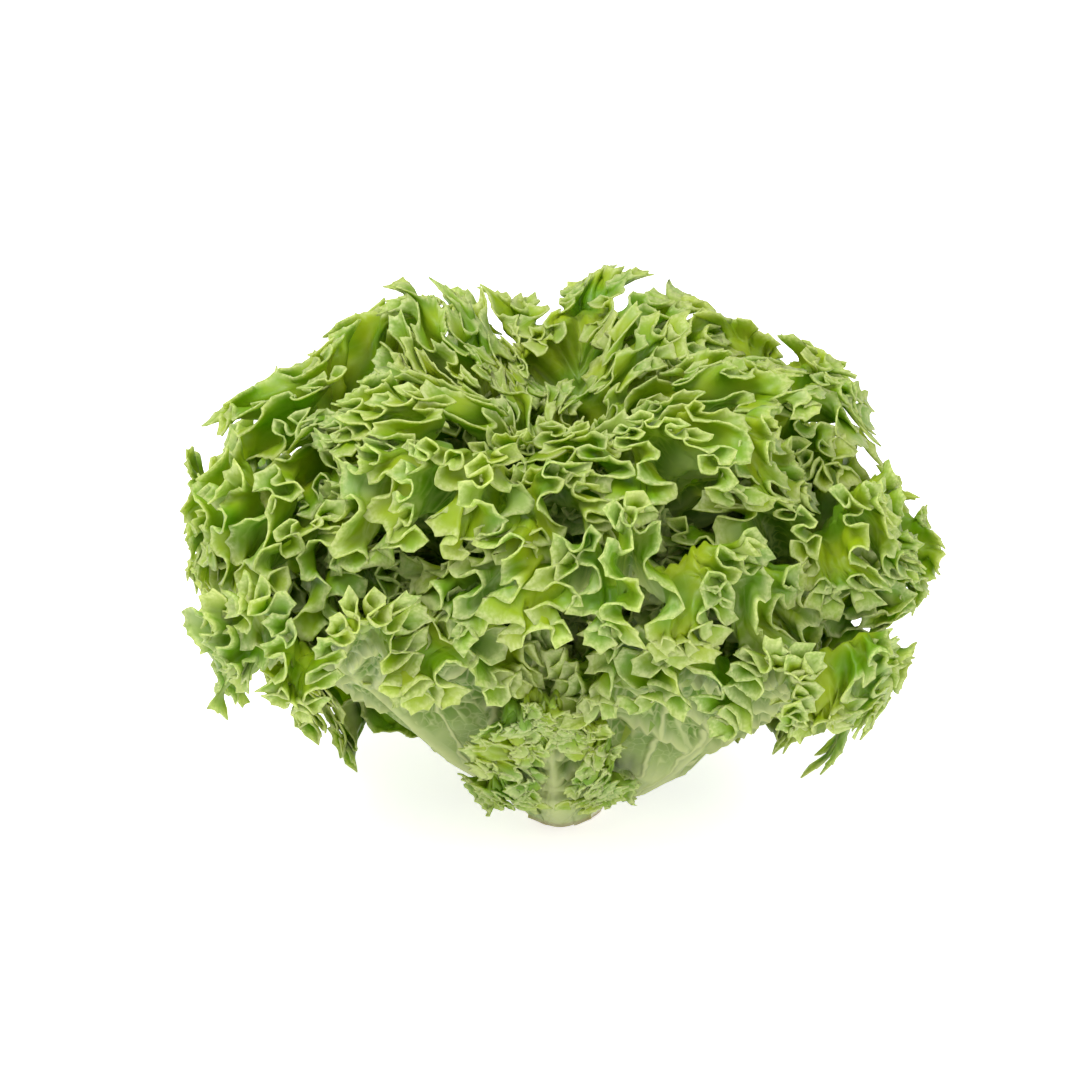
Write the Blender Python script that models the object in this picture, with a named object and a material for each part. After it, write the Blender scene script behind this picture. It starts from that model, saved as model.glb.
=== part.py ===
"""A head of frilly leaf lettuce standing on its cut stem, in metres, +Z up, origin in the middle of the cut.

The leaves grow from the stem in a golden-angle spiral, the oldest lowest and outermost. The head is thought
of as nested layers, like the skins of an onion that open upwards. Each leaf is a fan drawn flat, wrapped on
to its own layer, and pleated at its margin as far as half the way to the leaves next to it, so that no two
leaves touch.
"""

import math
import random

import bmesh
import bpy
import numpy as np

# Stem
STEM_RADIUS = 0.0145
STEM_SHOULDER = 0.005  # height of the lowest leaf's root
STEM_CAP = 0.040  # from there up to the growing tip
CUT_BEVEL = 0.0012
STEM_SIDES = 28
STEM_RINGS = 7
ROOT_GAP = 0.0003  # kept between the stem and every leaf
ROOT_SINK = 0.0025  # how far a root is drawn into the stem before the gap is cut

# Head
LEAVES = 28
HEART_LAYER = 0.17  # of the innermost leaf, where the outermost one's is 1
SPIRAL_TURN = math.radians(137.508)
FIRST_TURN = math.radians(-95)  # the outermost leaf faces the front, -Y
SHIFTS = {0: 3, 1: 15, 2: -40, 5: -15, 7: 15}  # degrees by which single outer leaves stand off the spiral
HEAD_CENTRE = 0.096  # height of the widest level
HEAD_RADIUS = 0.130
HEAD_SHIFT = (-0.0035, -0.0045)  # of the rims, so that the head is balanced over its stem
HEART_RADIUS = 0.048  # from the head's centre up to the innermost rims
DOME_POWER = 3.7
RIM_TOP = math.radians(10)  # angle from straight up to the innermost rim, and to the outermost one
RIM_LOW = math.radians(116)
FRONT_LIFT = math.radians(36)  # by which the rims of the front leaves stand higher
ROOT_TOP = math.radians(80)  # angle round the stem's cap up to the innermost root
LEAVE_HEART, LEAVE_OUTER, LEAVE_FRONT = 84, 8, 18  # degrees of slope at the root. The last is added in front
ARRIVE, ARRIVE_TURN = math.radians(6), 0.8  # slope at a level rim, and how far it follows the rim's angle
ROOT_PULL, RIM_PULL = 0.42, 0.36  # how long a layer keeps the slope that it has at each end

# Leaf
LEAF_WIDTH = 0.156
HEART_SPREAD = math.radians(62)  # the widest that half a leaf may wrap round the axis
ROOT_SPREAD = math.radians(40)
ROOT_WIDTH = 0.019
NECK_WIDTH = 0.026
NECK_AT, WIDEST_AT, VEINS_END_AT = 0.20, 0.62, 0.76  # shares of the leaf's length
HEART_TIP = 0.72  # where the tip of a leaf at the very heart would be, as a share of its layer
FRONT_LEAF_TIP, FRONT_LEAF_WIDTH = 0.78, 0.42  # the outermost leaf is a small one: its tip, and share of width
BLADE_THICK = 0.0008
ROOT_THICK_OUTER, ROOT_THICK_HEART = 0.0027, 0.0009
SHARPEST = 0.5  # cosine of the half angle past which a fold isn't thickened further

# Frill
PLEAT = 0.0062  # margin length from one fold to the next
# Rows from the margin to the midrib: the share of the way, the steps of the margin to one of theirs, and how
# much of the pleats and of the long waves reaches them.
ROWS = ((1, 1, 1, 1), (0.72, 2, 0, 0.7), (0.42, 4, 0, 0.2), (0, 4, 0, 0))
SWING = 1.35  # waves are this much higher than their room, and cut off where it ends
FRILL_ROOM = 0.075  # the furthest that a margin swings, as a share of all layers
HANG_ROOM = 0.26  # the same for the sides of a leaf that has none outside it, which hang
CLEARANCE = 0.0085  # the same measure, kept free before the halfway line to the next leaf
FREEING = 0.4  # layers of room won per radian past the side of a neighbouring leaf
EDGE_SPACE = 0.012  # kept beside such a leaf before that starts
FRILL_SHARE = 0.5  # of the frill's swing that is pleats. The rest is long waves
LONG_WAVE = 0.030
LOBE = 0.0035
LOWEST_LAYER = 1.03  # of the hanging sides
SEED = 11


def smooth(x):
    """0 below 0, 1 above 1, and an S curve between."""
    x = np.clip(x, 0, 1)
    return x * x * (3 - 2 * x)


def blend(a, b, share):
    return a + (b - a) * share


def layer(s, t, turn):
    """Points of layer s, from 0 the heart to 1 the outside, at the share t from stem to rim, round at turn."""
    front = np.clip(-np.sin(turn), 0, 1) ** 2 * s
    cap = ROOT_TOP * (1 - np.minimum(s, 1))
    root_r = STEM_RADIUS * np.cos(cap)
    root_z = STEM_SHOULDER + STEM_CAP * np.sin(cap)
    lean = blend(RIM_TOP, RIM_LOW, (s - HEART_LAYER) / (1 - HEART_LAYER)) - FRONT_LIFT * front * s
    reach = HEAD_RADIUS - (HEAD_RADIUS - HEART_RADIUS) * np.clip(np.cos(lean), 0, 1) ** DOME_POWER
    rim_r = reach * np.sin(lean)
    rim_z = HEAD_CENTRE + reach * np.cos(lean)
    leave = np.radians(blend(LEAVE_HEART, LEAVE_OUTER, s**1.3) + LEAVE_FRONT * front)
    arrive = ARRIVE + ARRIVE_TURN * (math.pi / 2 - lean)
    chord = np.hypot(rim_r - root_r, rim_z - root_z)
    up_r, up_z = root_r + ROOT_PULL * chord * np.cos(leave), root_z + ROOT_PULL * chord * np.sin(leave)
    in_r, in_z = rim_r - RIM_PULL * chord * np.cos(arrive), rim_z - RIM_PULL * chord * np.sin(arrive)
    a, b, c, d = (1 - t) ** 3, 3 * t * (1 - t) ** 2, 3 * t * t * (1 - t), t**3
    r = a * root_r + b * up_r + c * in_r + d * rim_r
    z = a * root_z + b * up_z + c * in_z + d * rim_z
    return np.stack([r * np.cos(turn) + HEAD_SHIFT[0] * t, r * np.sin(turn) + HEAD_SHIFT[1] * t, z], axis=-1)


def radius(s, t, turn):
    """Distance of a layer's points from the head's own axis."""
    x, y, _ = np.moveaxis(layer(s, t, turn), -1, 0)
    return np.hypot(x - HEAD_SHIFT[0] * t, y - HEAD_SHIFT[1] * t)


class Leaf:
    """One leaf: its place in the spiral, its layer and its flat size."""

    def __init__(self, number, luck):
        self.layer = 1 - (1 - HEART_LAYER) * number / (LEAVES - 1)
        self.turn = FIRST_TURN + number * SPIRAL_TURN + math.radians(SHIFTS.get(number, 0))
        self.tip = blend(HEART_TIP, 1, smooth(self.layer / 0.3)) + luck.uniform(-0.04, 0.03)
        if number == 0:
            self.tip = FRONT_LEAF_TIP
        steps = layer(self.layer, np.linspace(0, self.tip, 40), self.turn)
        self.length = np.linalg.norm(np.diff(steps, axis=0), axis=1).sum()
        widest = radius(self.layer, WIDEST_AT * self.tip, self.turn)
        self.half = min(LEAF_WIDTH / 2, widest * HEART_SPREAD)
        if number == 0:
            self.half *= FRONT_LEAF_WIDTH
        self.root_half = min(ROOT_WIDTH / 2, radius(self.layer, 0, self.turn) * ROOT_SPREAD)
        self.neck_half = min(NECK_WIDTH / 2, self.half * 0.7)
        self.root_thick = blend(ROOT_THICK_HEART, ROOT_THICK_OUTER, self.layer)

    def half_width(self, along):
        """Half the flat leaf's width at a share of its length."""
        petiole = blend(self.root_half, self.neck_half, np.clip(along / NECK_AT, 0, 1))
        span = np.where(along > WIDEST_AT, 1 - WIDEST_AT, WIDEST_AT - NECK_AT)
        across = (along - WIDEST_AT) / span
        blade = self.half * np.sqrt(np.clip(1 - across**2, 0, 1))
        return np.maximum(np.where(along < NECK_AT, petiole, blade), np.where(along < 0.5, petiole, 0))

    def outline(self, count):
        """Points round the flat leaf's margin, and the heights on the midrib where their veins leave it."""
        neck = math.pi - math.asin(self.neck_half / self.half)
        angle = np.linspace(0, neck, 200)
        reach = np.where(angle < math.pi / 2, 1 - WIDEST_AT, WIDEST_AT - NECK_AT)
        x = np.concatenate([self.half * np.sin(angle), [self.root_half]])
        y = np.concatenate([WIDEST_AT + reach * np.cos(angle), [0]]) * self.length
        vein = NECK_AT + (VEINS_END_AT - NECK_AT) * ((1 + np.cos(angle)) / 2) ** 1.4
        vein = np.concatenate([np.minimum(vein, y[:-1] / self.length), [0]]) * self.length
        far = np.concatenate([[0], np.cumsum(np.hypot(np.diff(x), np.diff(y)))])
        at = np.linspace(0, far[-1], count // 2 + 1)
        x, y, vein = (np.interp(at, far, values) for values in (x, y, vein))
        right = np.stack([x, y], axis=1)
        left = right * [-1, 1]
        return np.concatenate([left[::-1], right[1:]]), np.concatenate([vein[::-1], vein[1:]])


def room(leaf, others, turn, t):
    """How far, in layers, the leaf may swing inwards and outwards at these places."""
    inward = np.full(np.shape(turn), HANG_ROOM)
    outward = inward.copy()
    for other in others:
        gap = other.layer - leaf.layer
        if other is leaf or abs(gap) > 2 * HANG_ROOM:
            continue
        away = np.abs((turn - other.turn + math.pi) % (2 * math.pi) - math.pi)
        along = t / other.tip
        wide = (other.half_width(np.clip(along, 0, 1)) + EDGE_SPACE) / radius(other.layer, t, other.turn)
        free = FREEING * (np.maximum(away - wide, 0) + np.maximum(along - 1.06, 0))
        mine = abs(gap) / 2 - CLEARANCE + free
        if gap > 0:
            outward = np.minimum(outward, mine)
        else:
            inward = np.minimum(inward, mine)
    return np.maximum(inward, 0), np.maximum(outward, 0)


def rows_of(leaf, others, luck):
    """The leaf's rows of points from the margin to the midrib, in their places in the head, and how thin each is."""
    margin_length = 2 * (leaf.length + leaf.half * 0.9)
    columns = 8 * max(4, round(margin_length / PLEAT / 8))
    margin, vein = leaf.outline(columns)
    vein = np.stack([0 * vein, vein], axis=1)
    ray = margin - vein
    ray /= np.maximum(np.linalg.norm(ray, axis=1), 1e-6)[:, None]
    start = luck.uniform(0, 2 * math.pi)
    far = np.linspace(0, margin_length, columns + 1)
    pleats = np.array([luck.uniform(0.75, 1) for _ in far]) * np.where(np.arange(columns + 1) % 2, 1, -1)
    lobes = np.array([luck.uniform(-1, 1) for _ in far]) * LOBE
    long_wave = np.sin(start + far * 2 * math.pi / LONG_WAVE)
    grown = smooth((margin[:, 1] / leaf.length - NECK_AT) / 0.16)
    rows = []
    for share, step, pleated, waved in ROWS:
        flat = blend(vein, margin, share) + (share == 1) * ray * (lobes * grown)[:, None]
        x, y = flat[::step].T
        t = y / leaf.length * leaf.tip
        t[[0, -1]] = -ROOT_SINK / leaf.length
        turn = leaf.turn + x / radius(leaf.layer, np.maximum(t, 0), leaf.turn)
        swing = SWING * (pleated * FRILL_SHARE * pleats + waved * (1 - FRILL_SHARE) * long_wave)[::step]
        swing = np.clip(swing, -1, 1) * grown[::step]
        inward_room, outward_room = room(leaf, others, turn, t)
        side = smooth(np.abs(x) / leaf.half) * smooth((y / leaf.length - 0.1) / 0.3)
        side *= 1 - np.clip(-np.sin(turn), 0, 1)
        hang = side * np.minimum(np.maximum(outward_room - FRILL_ROOM, 0), LOWEST_LAYER - leaf.layer)
        swing_room = np.minimum(np.where(swing > 0, outward_room, inward_room), FRILL_ROOM)
        moved = leaf.layer + hang + swing * swing_room
        beside = np.abs(x) / leaf.neck_half / 1.2 * (t > 0.1)
        rows.append((layer(moved, t, turn), smooth(np.maximum(t / leaf.tip / 0.6, beside))))
    return rows


def knit(fine, coarse):
    """The triangles between two rows of points, one of which may have more steps than the other."""
    ratio = (len(fine) - 1) // (len(coarse) - 1)
    faces = []
    for i, (a, b) in enumerate(zip(coarse, coarse[1:])):
        edge = fine[i * ratio : (i + 1) * ratio + 1]
        middle = len(edge) // 2
        faces += [(a if j < middle else b, c, d) for j, (c, d) in enumerate(zip(edge, edge[1:]))]
        faces.append((a, edge[middle], b))
    return faces


def thickened(points, faces, thick):
    """The sheet as a closed solid: two skins of the same triangles, half the thickness to either side."""
    corners = points[faces]
    flat = np.cross(corners[:, 1] - corners[:, 0], corners[:, 2] - corners[:, 0])
    flat /= np.linalg.norm(flat, axis=1)[:, None]
    normals = np.zeros_like(points)
    for i in range(3):
        ahead, behind = corners[:, (i + 1) % 3] - corners[:, i], corners[:, (i + 2) % 3] - corners[:, i]
        lengths = np.linalg.norm(ahead, axis=1) * np.linalg.norm(behind, axis=1)
        angle = np.arccos(np.clip((ahead * behind).sum(1) / lengths, -1, 1))
        np.add.at(normals, faces[:, i], flat * angle[:, None])
    normals /= np.linalg.norm(normals, axis=1)[:, None]
    facing = np.ones(len(points))
    for i in range(3):
        np.minimum.at(facing, faces[:, i], (normals[faces[:, i]] * flat).sum(1))
    offset = normals * (thick / 2 / np.maximum(facing, SHARPEST))[:, None]
    sides = {(a, b) for face in faces.tolist() for a, b in zip(face, face[1:] + face[:1])}
    rim = [(b, a, a + len(points), b + len(points)) for a, b in sides if (b, a) not in sides]
    walls = [(a, b, c) for a, b, c, d in sorted(rim)] + [(a, c, d) for a, b, c, d in sorted(rim)]
    below = (faces[:, ::-1] + len(points)).tolist()
    return np.concatenate([points + offset, points - offset]), faces.tolist() + below + walls


def leaf_object(name, leaf, others, luck, material):
    """The leaf as a thick sheet of triangles on its layer."""
    rows = rows_of(leaf, others, luck)
    points, thick, lines = [], [], []
    for places, thin in rows[:-1]:
        lines.append(list(range(len(points), len(points) + len(places))))
        points.extend(places)
        thick.extend(blend(leaf.root_thick, BLADE_THICK, thin))
    places, thin = rows[-1]
    half = len(places) // 2 + 1
    spine = list(range(len(points), len(points) + half))
    points.extend(places[:half])
    thick.extend(blend(leaf.root_thick, BLADE_THICK, thin[:half]))
    lines.append(spine + spine[-2::-1])
    faces = [face for fine, coarse in zip(lines, lines[1:]) for face in knit(fine, coarse)]
    verts, polygons = thickened(np.array(points), np.array(faces), np.array(thick))
    return linked(name, verts.tolist(), polygons, material)


def linked(name, verts, faces, material):
    """A new object with this mesh, its faces turned outwards."""
    data = bpy.data.meshes.new(name)
    data.from_pydata(verts, [], faces)
    mesh = bmesh.new()
    mesh.from_mesh(data)
    bmesh.ops.recalc_face_normals(mesh, faces=mesh.faces)
    mesh.to_mesh(data)
    mesh.free()
    thing = bpy.data.objects.new(name, data)
    bpy.context.scene.collection.objects.link(thing)
    data.materials.append(material)
    return thing


def stem_profile(grow):
    """Radius and height of the stem's outline, from the cut up to the tip, grown outwards all over."""
    cap = np.linspace(0, math.pi / 2, STEM_RINGS)
    points = [(0, -grow), (STEM_RADIUS - CUT_BEVEL, -grow), (STEM_RADIUS + grow, CUT_BEVEL)]
    radii = (STEM_RADIUS + grow) * np.cos(cap)
    heights = STEM_SHOULDER + (STEM_CAP + grow) * np.sin(cap)
    return points + [(float(r), float(z)) for r, z in zip(radii[:-1], heights)] + [(0, float(heights[-1]))]


def turned(name, profile, material=None):
    """A solid of revolution about Z, from an outline that starts and ends on the axis."""
    mesh = bmesh.new()
    line = [mesh.verts.new((r, 0, z)) for r, z in profile]
    edges = [mesh.edges.new(pair) for pair in zip(line, line[1:])]
    bmesh.ops.spin(mesh, geom=line + edges, cent=(0, 0, 0), axis=(0, 0, 1), angle=2 * math.pi,
                   steps=STEM_SIDES, use_merge=True)
    bmesh.ops.remove_doubles(mesh, verts=mesh.verts, dist=1e-5)
    bmesh.ops.recalc_face_normals(mesh, faces=mesh.faces)
    data = bpy.data.meshes.new(name)
    mesh.to_mesh(data)
    mesh.free()
    data.shade_smooth()
    thing = bpy.data.objects.new(name, data)
    bpy.context.scene.collection.objects.link(thing)
    if material:
        data.materials.append(material)
    return thing


def finish(name, colour, roughness):
    """A plain material of one colour."""
    material = bpy.data.materials.new(name)
    material.use_nodes = True
    shader = material.node_tree.nodes["Principled BSDF"]
    shader.inputs["Base Color"].default_value = (*colour, 1)
    shader.inputs["Roughness"].default_value = roughness
    shader.inputs["Metallic"].default_value = 0
    return material


def ring_of(number):
    """The plain name of the ring that a leaf stands in, and its number there."""
    for ring, first in (("heart_leaf", 21), ("middle_leaf", 9), ("outer_leaf", 0)):
        if number >= first:
            return ring, number - first + 1


def main():
    for thing in list(bpy.data.objects):
        bpy.data.objects.remove(thing)
    luck = random.Random(SEED)
    stem_finish = finish("cut_stem", (0.62, 0.68, 0.42), 0.6)
    finishes = {
        "outer_leaf": finish("outer_leaf", (0.30, 0.46, 0.10), 0.45),
        "middle_leaf": finish("middle_leaf", (0.36, 0.54, 0.12), 0.45),
        "heart_leaf": finish("heart_leaf", (0.45, 0.62, 0.18), 0.45),
    }
    turned("cut_stem", stem_profile(0), stem_finish)
    cutter = turned("root_clearance", stem_profile(ROOT_GAP))
    cutter.hide_render = True
    cutter.display_type = "WIRE"
    leaves = [Leaf(number, luck) for number in range(LEAVES)]
    for number, leaf in enumerate(leaves):
        ring, place = ring_of(number)
        thing = leaf_object(f"{ring}_{place:02d}", leaf, leaves, luck, finishes[ring])
        cut = thing.modifiers.new("Gap to the stem", "BOOLEAN")
        cut.operation = "DIFFERENCE"
        cut.object = cutter


main()
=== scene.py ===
# %% [markdown]
# # A head of frilly leaf lettuce
# The real thing is a loose head of about thirty leaves on a short stem that a knife cut level. Each leaf starts
# as a thick pale stalk, opens into a puckered fan, and ends in a margin that grew far longer than the blade
# behind it, so it has to fold into loops and frills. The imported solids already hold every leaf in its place.
# Here each one is modelled again, finer, with its folds, veins and teeth.

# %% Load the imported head
import math
import random

import bpy
import numpy as np
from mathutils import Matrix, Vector


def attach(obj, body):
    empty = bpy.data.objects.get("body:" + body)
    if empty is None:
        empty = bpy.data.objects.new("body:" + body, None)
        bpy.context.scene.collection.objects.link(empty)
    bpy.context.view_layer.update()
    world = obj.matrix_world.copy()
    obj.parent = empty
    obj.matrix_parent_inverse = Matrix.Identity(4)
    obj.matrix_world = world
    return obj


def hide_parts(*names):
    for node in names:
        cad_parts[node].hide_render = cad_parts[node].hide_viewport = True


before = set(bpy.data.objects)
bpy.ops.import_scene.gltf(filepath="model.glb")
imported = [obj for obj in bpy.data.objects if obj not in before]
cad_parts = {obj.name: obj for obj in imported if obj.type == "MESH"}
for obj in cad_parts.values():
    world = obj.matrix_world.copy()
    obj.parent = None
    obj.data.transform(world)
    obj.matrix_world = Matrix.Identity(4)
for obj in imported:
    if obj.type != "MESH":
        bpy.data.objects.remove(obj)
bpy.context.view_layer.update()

scene = bpy.context.scene

# %% [markdown]
# ## The head as nested layers
# The leaves are thought of as lying on nested skins, like those of an onion that opens upwards. A layer runs
# from 0 in the heart to 1 outside, and each leaf follows one of them. These are the sizes that the solids were
# made with, in metres, so that every fine leaf lands exactly on its solid one.

# %% Sizes of the head
STEM_RADIUS, STEM_SHOULDER, STEM_CAP = 0.0145, 0.005, 0.040
LEAVES, HEART_LAYER = 28, 0.17
SPIRAL_TURN, FIRST_TURN = math.radians(137.508), math.radians(-95)
SHIFTS = {0: 3, 1: 15, 2: -40, 5: -15, 7: 15}
HEAD_CENTRE, HEAD_RADIUS, HEAD_SHIFT = 0.096, 0.130, (-0.0035, -0.0045)
HEART_RADIUS, DOME_POWER = 0.048, 3.7
RIM_TOP, RIM_LOW, FRONT_LIFT = math.radians(10), math.radians(116), math.radians(36)
ROOT_TOP = math.radians(80)
LEAVE_HEART, LEAVE_OUTER, LEAVE_FRONT = 84, 8, 18
ARRIVE, ARRIVE_TURN = math.radians(6), 0.8
ROOT_PULL, RIM_PULL = 0.42, 0.36
LEAF_WIDTH, HEART_SPREAD, ROOT_SPREAD = 0.156, math.radians(62), math.radians(40)
ROOT_WIDTH, NECK_WIDTH = 0.019, 0.026
NECK_AT, WIDEST_AT, VEINS_END_AT = 0.20, 0.62, 0.76
HEART_TIP, FRONT_LEAF_TIP, FRONT_LEAF_WIDTH = 0.72, 0.78, 0.42
FRILL_ROOM, HANG_ROOM, CLEARANCE, FREEING, EDGE_SPACE = 0.075, 0.26, 0.0085, 0.4, 0.012
LOWEST_LAYER, LAYER_STEP = 1.03, 0.005
SEED = 11

# %% A point of any layer
def smooth(x):
    """0 below 0, 1 above 1, and an S curve between."""
    x = np.clip(x, 0, 1)
    return x * x * (3 - 2 * x)


def blend(a, b, share):
    return a + (b - a) * share


def layer(s, t, turn):
    """Points of layer s, at the share t of the way from stem to rim, round at turn."""
    front = np.clip(-np.sin(turn), 0, 1) ** 2 * s
    cap = ROOT_TOP * (1 - np.minimum(s, 1))
    root_r = STEM_RADIUS * np.cos(cap)
    root_z = STEM_SHOULDER + STEM_CAP * np.sin(cap)
    lean = blend(RIM_TOP, RIM_LOW, (s - HEART_LAYER) / (1 - HEART_LAYER)) - FRONT_LIFT * front * s
    reach = HEAD_RADIUS - (HEAD_RADIUS - HEART_RADIUS) * np.clip(np.cos(lean), 0, 1) ** DOME_POWER
    rim_r = reach * np.sin(lean)
    rim_z = HEAD_CENTRE + reach * np.cos(lean)
    leave = np.radians(blend(LEAVE_HEART, LEAVE_OUTER, np.maximum(s, 0) ** 1.3) + LEAVE_FRONT * front)
    arrive = ARRIVE + ARRIVE_TURN * (math.pi / 2 - lean)
    chord = np.hypot(rim_r - root_r, rim_z - root_z)
    up_r, up_z = root_r + ROOT_PULL * chord * np.cos(leave), root_z + ROOT_PULL * chord * np.sin(leave)
    in_r, in_z = rim_r - RIM_PULL * chord * np.cos(arrive), rim_z - RIM_PULL * chord * np.sin(arrive)
    a, b, c, d = (1 - t) ** 3, 3 * t * (1 - t) ** 2, 3 * t * t * (1 - t), t**3
    r = a * root_r + b * up_r + c * in_r + d * rim_r
    z = a * root_z + b * up_z + c * in_z + d * rim_z
    return np.stack([r * np.cos(turn) + HEAD_SHIFT[0] * t, r * np.sin(turn) + HEAD_SHIFT[1] * t, z], axis=-1)


def radius(s, t, turn):
    """Distance of a layer's points from the head's own axis."""
    x, y, _ = np.moveaxis(layer(s, t, turn), -1, 0)
    return np.hypot(x - HEAD_SHIFT[0] * t, y - HEAD_SHIFT[1] * t)


def layer_pace(s, t, turn):
    """How many metres one whole layer spans at these places."""
    span = layer(s + LAYER_STEP, t, turn) - layer(s - LAYER_STEP, t, turn)
    return np.linalg.norm(span, axis=1) / (2 * LAYER_STEP)


# %% [markdown]
# ## The leaves in their spiral
# A lettuce sets each new leaf 137.5 degrees on from the last, the golden angle, so no leaf stands over its
# neighbour. Every leaf is first a flat fan with a stalk. Its outline and the heights at which its veins leave
# the midrib are all that is needed to draw it.

# %% Each leaf's place and its flat outline
class Leaf:
    """One leaf: its place in the spiral, its layer and its flat size."""

    def __init__(self, number, luck):
        self.number = number
        self.layer = 1 - (1 - HEART_LAYER) * number / (LEAVES - 1)
        self.turn = FIRST_TURN + number * SPIRAL_TURN + math.radians(SHIFTS.get(number, 0))
        self.tip = blend(HEART_TIP, 1, smooth(self.layer / 0.3)) + luck.uniform(-0.04, 0.03)
        if number == 0:
            self.tip = FRONT_LEAF_TIP
        steps = layer(self.layer, np.linspace(0, self.tip, 40), self.turn)
        self.length = np.linalg.norm(np.diff(steps, axis=0), axis=1).sum()
        self.half = min(LEAF_WIDTH / 2, radius(self.layer, WIDEST_AT * self.tip, self.turn) * HEART_SPREAD)
        if number == 0:
            self.half *= FRONT_LEAF_WIDTH
        self.root_half = min(ROOT_WIDTH / 2, radius(self.layer, 0, self.turn) * ROOT_SPREAD)
        self.neck_half = min(NECK_WIDTH / 2, self.half * 0.7)

    def half_width(self, along):
        """Half the flat leaf's width at a share of its length."""
        petiole = blend(self.root_half, self.neck_half, np.clip(along / NECK_AT, 0, 1))
        span = np.where(along > WIDEST_AT, 1 - WIDEST_AT, WIDEST_AT - NECK_AT)
        blade = self.half * np.sqrt(np.clip(1 - ((along - WIDEST_AT) / span) ** 2, 0, 1))
        return np.maximum(np.where(along < NECK_AT, petiole, blade), np.where(along < 0.5, petiole, 0))

    def outline(self, count):
        """Points round the flat margin from root to root, and where the vein to each leaves the midrib."""
        neck = math.pi - math.asin(self.neck_half / self.half)
        angle = np.linspace(0, neck, 400)
        reach = np.where(angle < math.pi / 2, 1 - WIDEST_AT, WIDEST_AT - NECK_AT)
        x = np.concatenate([self.half * np.sin(angle), [self.root_half]])
        y = np.concatenate([WIDEST_AT + reach * np.cos(angle), [0]]) * self.length
        vein = NECK_AT + (VEINS_END_AT - NECK_AT) * ((1 + np.cos(angle)) / 2) ** 1.4
        vein = np.concatenate([np.minimum(vein, y[:-1] / self.length), [0]]) * self.length
        far = np.concatenate([[0], np.cumsum(np.hypot(np.diff(x), np.diff(y)))])
        at = np.linspace(0, far[-1], count // 2 + 1)
        x, y, vein = (np.interp(at, far, values) for values in (x, y, vein))
        right, left = np.stack([x, y], axis=1), np.stack([-x, y], axis=1)
        return np.concatenate([left[::-1], right[1:]]), np.concatenate([vein[::-1], vein[1:]]), 2 * far[-1]


leaf_luck = random.Random(SEED)
leaves = [Leaf(number, leaf_luck) for number in range(LEAVES)]
print("leaves:", len(leaves), "longest, mm:", round(max(leaf.length for leaf in leaves) * 1000))

# %% How much room a leaf has before it meets the next
PAST_TIP = 1.06
LEAST_SWING, MOST_SWING, OUTERMOST_SWING, OVERLAP = 0.0100, 0.0200, 0.009, 1.35


def room(leaf, turn, t):
    """How far, in layers, the leaf may swing inwards and outwards at these places."""
    inward = np.full(np.shape(turn), HANG_ROOM)
    outward = inward.copy()
    for other in leaves:
        gap = other.layer - leaf.layer
        if other is leaf or abs(gap) > 2 * HANG_ROOM:
            continue
        away = np.abs((turn - other.turn + math.pi) % (2 * math.pi) - math.pi)
        along = t / other.tip
        wide = (other.half_width(np.clip(along, 0, 1)) + EDGE_SPACE) / radius(other.layer, t, other.turn)
        free = FREEING * (np.maximum(away - wide, 0) + np.maximum(along - PAST_TIP, 0))
        mine = abs(gap) / 2 - CLEARANCE + free
        if gap > 0:
            outward = np.minimum(outward, mine)
        else:
            inward = np.minimum(inward, mine)
    return np.maximum(inward, 0), np.maximum(outward, 0)


def swing_room(leaf, home, turn, t):
    """The same room in metres, for a sheet that lies on the layers home, inwards and outwards."""
    pace = layer_pace(home, t, turn)
    sides = [(np.minimum(side, FRILL_ROOM) + CLEARANCE) * OVERLAP * pace for side in room(leaf, turn, t)]
    inward, outward = (np.clip(side, LEAST_SWING * smooth(t / 0.7), MOST_SWING) for side in sides)
    outside = smooth((home - 0.80) / 0.2)  # no leaf outside holds these back, but the head's size does
    return inward, np.minimum(outward, blend(MOST_SWING, OUTERMOST_SWING, outside))


# %% [markdown]
# ## A blank leaf, cut like cloth
# A leaf's mesh has to be fine where it frills and may be coarse at its stalk. So a plain grid is added, one
# side for the midrib and the other for the margin, and its edges near the margin are split by the Subdivide
# operator again and again. Three blanks are made, for outer, middle and heart leaves, and each leaf is then
# shaped from its own copy.

# %% Rows of the blanks, as shares of the way from midrib to margin
def row_shares(parts):
    """Shares from 0 to 1, from (where a stretch ends, its number of rows) pairs."""
    shares = [0.0]
    for end, rows in parts:
        shares += list(np.linspace(shares[-1], end, rows + 1)[1:])
    return np.array(shares)


def places_of(mesh):
    """The places of a mesh's points, one to a row."""
    at = np.zeros(len(mesh.vertices) * 3)
    mesh.vertices.foreach_get("co", at)
    return at.reshape(-1, 3)


def split_edges_beyond(blank, first_row, rows):
    """Splits the edges that run along the margin, from a row on, to double the columns there."""
    mesh = blank.data
    row = (places_of(mesh)[:, 1] + 0.5) * rows
    ends = np.zeros(len(mesh.edges) * 2, int)
    mesh.edges.foreach_get("vertices", ends)
    ends = ends.reshape(-1, 2)
    chosen = (np.abs(row[ends[:, 0]] - row[ends[:, 1]]) < 0.1) & (row[ends].min(1) > first_row - 0.1)
    picked = np.zeros(len(mesh.vertices), bool)
    picked[ends[chosen]] = True
    mesh.polygons.foreach_set("select", np.zeros(len(mesh.polygons), bool))
    mesh.vertices.foreach_set("select", picked)
    mesh.edges.foreach_set("select", chosen)
    bpy.ops.object.mode_set(mode="EDIT")
    bpy.ops.mesh.subdivide(number_cuts=1, ngon=False)
    bpy.ops.object.mode_set(mode="OBJECT")


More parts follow.
